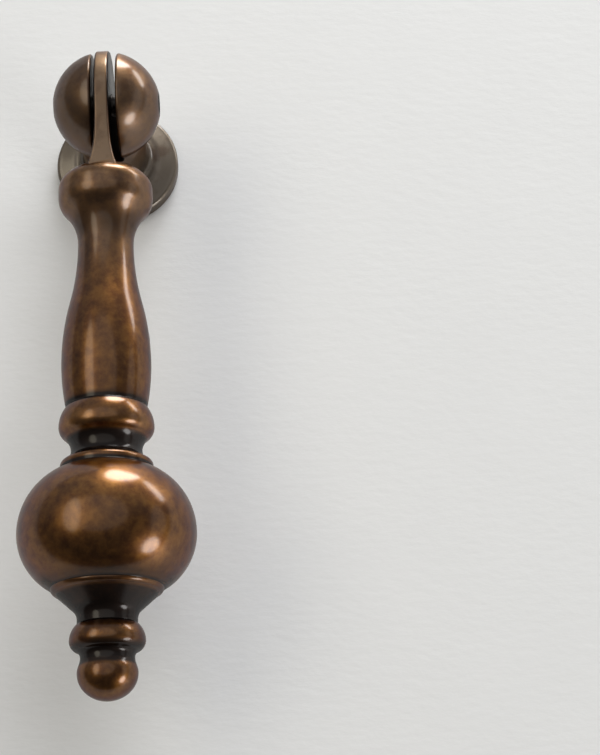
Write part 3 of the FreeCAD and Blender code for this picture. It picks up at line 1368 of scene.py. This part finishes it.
    def tongue_wear_and_shade(self, point: Vector) -> tuple[float, float, float]:
        """Judge how shaded, rubbed and hazed the tongue is at a point, the shade being painted into its
        colour.

        Args:
            point: Point on the tongue, in millimetres from the middle of the eye.

        Returns:
            Painted shade, rub and haze, from 0 to 1.
        """
        across = math.hypot(point.y, point.z)
        # Painted shade round the eye and over the flanks inside the slot; it clears on the rounded rims and
        # below the ball
        if across < self.eye_bore + self.eye_painted_shade_width:
            return 1.0, 0.0, 0.0
        rim = ramp(self.flank(across) - abs(point.x), *self.rim_span)
        bared = ramp(across - self.eye_radius, *self.bared_span)
        grime_and_shade = (1 - self.bared_clearing * bared) * (1 - rim)
        return grime_and_shade, self.rim_rub * rim, self.rim_haze * rim + self.bared_haze * bared * (1 - rim)

    def make(self, turning: TurningTree, pin_place: Vector, finish: bpy.types.Material) -> bpy.types.Object:
        """Turn the baluster, join it with the tongue and dress it.

        Args:
            turning: Tree that turns the outlines.
            pin_place: Middle of the hinge pin.
            finish: Material of the drop.

        Returns:
            The finished piece.
        """
        axis_place = pin_place + Vector((self.side_shift, 0.0, 0.0))
        baluster = self.baluster()
        piece = turning.turn("baluster_drop", baluster, Axis.UPRIGHT, axis_place, finish)
        combine(piece, self.tongue(axis_place), Joining.ADD)
        along = OutlineWearAndShade(baluster)

        def wear_and_shade(point: Vector) -> tuple[float, float, float]:
            """Judge how dark, rubbed and hazed the drop is, the turned part by its outline and the tongue by
            place, the dark being the hollows' black and painted shade.

            Args:
                point: Point on the drop, in millimetres.

            Returns:
                Darkness from the hollows' black and painted shade, rub and haze, from 0 to 1.
            """
            local = point - axis_place
            around = math.hypot(local.x, local.y)
            beside = around > self.bell_radius + NEAR
            below_shoulder = local.z < self.bell_height + self.dome_shoulder * self.dome_height
            if local.z - self.dome(around) < self.skin or (beside and below_shoulder):
                return self.turned_wear_and_shade(local, along)
            return self.tongue_wear_and_shade(local)

        dress(piece.data, finish)
        mark_wear_and_shade(piece.data, wear_and_shade)
        return piece


@dataclass(frozen=True)
class Lamp:
    """Soft lamp, by the direction from the pull in which it stands. Angles in degrees, sizes in metres."""

    name: str
    azimuth: float
    elevation: float
    distance: float
    width: float
    height: float
    glow: float
    colour: Colour = (1.0, 1.0, 1.0)
    mirrored: bool = True

    def make(self, centre: Vector) -> None:
        """Hang the lamp so that it faces the pull.

        Args:
            centre: Middle of the pull, in metres.
        """
        light = bpy.data.lights.new(self.name, "AREA")
        light.shape = "ELLIPSE"
        light.size = self.width
        light.size_y = self.height
        light.color = self.colour

        # Power that gives the lamp's face its glow
        area = math.pi / 4 * self.width * self.height
        light.energy = self.glow * math.pi * area

        turn, rise = math.radians(self.azimuth), math.radians(self.elevation)
        out = Vector((math.sin(turn) * math.cos(rise), -math.cos(turn) * math.cos(rise), math.sin(rise)))
        hung = bpy.data.objects.new(self.name, light)
        hung.location = centre + out * self.distance
        hung.rotation_mode = "QUATERNION"
        hung.rotation_quaternion = out.to_track_quat("Z", "Y")
        hung.visible_glossy = self.mirrored
        bpy.context.scene.collection.objects.link(hung)


@dataclass
class Studio:
    """Pale wall, soft lamps, dim room and the camera of the main view, which stands in millimetres."""

    wall_size: float = 3.0
    wall_opening: float = 6.2
    wall_gap: float = 0.03
    wall_sides: int = 96
    image_height: float = 755.0
    focal_pixels: float = 1734.0
    sensor: float = 36.0
    clip: Span = (0.005, 20.0)
    yaw: float = -1.6
    pitch: float = 20.6
    roll: float = -2.64
    camera_place: tuple[float, float, float] = (14.379, -173.833, -91.045)
    room_low: Colour = (0.05, 0.047, 0.044)
    room_level: Colour = (0.11, 0.11, 0.11)
    room_high: Colour = (0.40, 0.42, 0.44)
    lamps: tuple[Lamp, ...] = (
        Lamp("top_lamp", 62, 75, 0.5, 0.3, 0.22, 14.5),
        Lamp("right_lamp", 86, 44, 0.7, 0.14, 0.36, 8.5, (1.0, 0.98, 0.95)),
        Lamp("low_lamp", 74, -36, 0.6, 0.2, 0.28, 8.0, (1.0, 0.98, 0.96)),
        Lamp("left_glow", -39, 8, 0.9, 0.36, 0.9, 1.9, (1.0, 0.92, 0.73)),
        Lamp("right_glow", 72, 0, 0.9, 0.36, 0.8, 0.5, (1.0, 0.96, 0.90)),
        Lamp("front_glow", -6, 8, 1.0, 1.5, 1.2, 0.4, (1.0, 0.96, 0.90)),
        Lamp("wall_fill", 34, 48, 1.1, 1.3, 1.3, 1.7, mirrored=False),
    )

    def wall(self, finish: bpy.types.Material) -> bpy.types.Object:
        """Make the wall behind the foot, open where the foot covers it.

        Args:
            finish: Material of the wall.

        Returns:
            The wall, facing the room.
        """
        half = self.wall_size / 2
        opening = self.wall_opening * MM
        gap = self.wall_gap * MM
        shape = bmesh.new()
        inner, outer = [], []
        for side in range(self.wall_sides):
            turn = math.tau * side / self.wall_sides
            x, z = math.cos(turn), math.sin(turn)
            reach = half / max(abs(x), abs(z))
            inner.append(shape.verts.new((x * opening, gap, z * opening)))
            outer.append(shape.verts.new((x * reach, gap, z * reach)))
        for side in range(self.wall_sides):
            shape.faces.new((inner[side - 1], outer[side - 1], outer[side], inner[side]))
        for face in shape.faces:
            face.normal_update()
            if face.normal.y > 0:
                face.normal_flip()
        wall = shaped("wall", shape)
        wall.data.materials.append(finish)
        return wall

    def room(self) -> None:
        """Light the room evenly, brighter above than below."""
        world = bpy.data.worlds.new("room")
        world.use_nodes = True
        tree = world.node_tree
        tree.nodes.clear()
        direction = add_node(tree, "ShaderNodeTexCoord").outputs["Generated"]
        height = add_node(tree, "ShaderNodeSeparateXYZ", direction).outputs["Z"]
        share = add_node(tree, "ShaderNodeMapRange", height, -1.0, 1.0).outputs[0]
        blend = add_node(tree, "ShaderNodeValToRGB", share)
        stops = blend.color_ramp.elements
        stops[0].color = (*self.room_low, 1.0)
        stops[1].color = (*self.room_high, 1.0)
        stops.new(0.5).color = (*self.room_level, 1.0)
        glow = add_node(tree, "ShaderNodeBackground", blend.outputs[0])
        add_node(tree, "ShaderNodeOutputWorld", glow.outputs[0])
        bpy.context.scene.world = world

    def camera(self) -> None:
        """Set the camera where the photograph was taken from."""
        data = bpy.data.cameras.new("camera")
        data.sensor_width = self.sensor
        data.lens = self.focal_pixels / self.image_height * self.sensor
        data.clip_start, data.clip_end = self.clip
        aim = Matrix.Rotation(math.radians(self.yaw), 4, "Z")
        lift = Matrix.Rotation(math.radians(90 + self.pitch), 4, "X")
        tilt = Matrix.Rotation(math.radians(self.roll), 4, "Z")
        eye = bpy.data.objects.new("camera", data)
        eye.matrix_world = Matrix.Translation(Vector(self.camera_place) * MM) @ aim @ lift @ tilt
        bpy.context.scene.collection.objects.link(eye)
        bpy.context.scene.camera = eye

    def make(self, finish: bpy.types.Material, centre: Vector) -> None:
        """Set up the wall, lamps, room and camera.

        Args:
            finish: Material of the wall.
            centre: Middle of the pull, in metres.
        """
        self.wall(finish)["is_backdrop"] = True
        for lamp in self.lamps:
            lamp.make(centre)
        self.room()
        self.camera()
        bpy.context.scene.view_settings.view_transform = "Standard"


def place_piece(piece: bpy.types.Object, body: str, node: str) -> None:
    """Let a finished piece ride on its body in place of a solid.

    Args:
        piece: Finished piece.
        body: Body that it moves with.
        node: Solid that it stands for.
    """
    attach(piece, body)
    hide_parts(node)
    log.info("%s: %d faces, rides on %s", piece.name, len(piece.data.polygons), body)


def main() -> None:
    """Build the pull and its studio."""
    logging.basicConfig(level=logging.INFO, format="%(message)s")
    solids_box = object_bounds()
    centre = (solids_box[0] + solids_box[1]) / 2
    turning = TurningTree()
    brass = AgedBrass().build()
    steel = PinSteel().build()
    post = Post()
    place_piece(post.make(turning, brass), "base", "post")
    place_piece(HingePin().make(turning, post.pin_place, steel), "base", "hinge_pin")
    place_piece(Drop().make(turning, post.pin_place, brass), "drop", "drop")
    Studio().make(WallPaint().build(), centre)


if __name__ == "__main__":
    main()
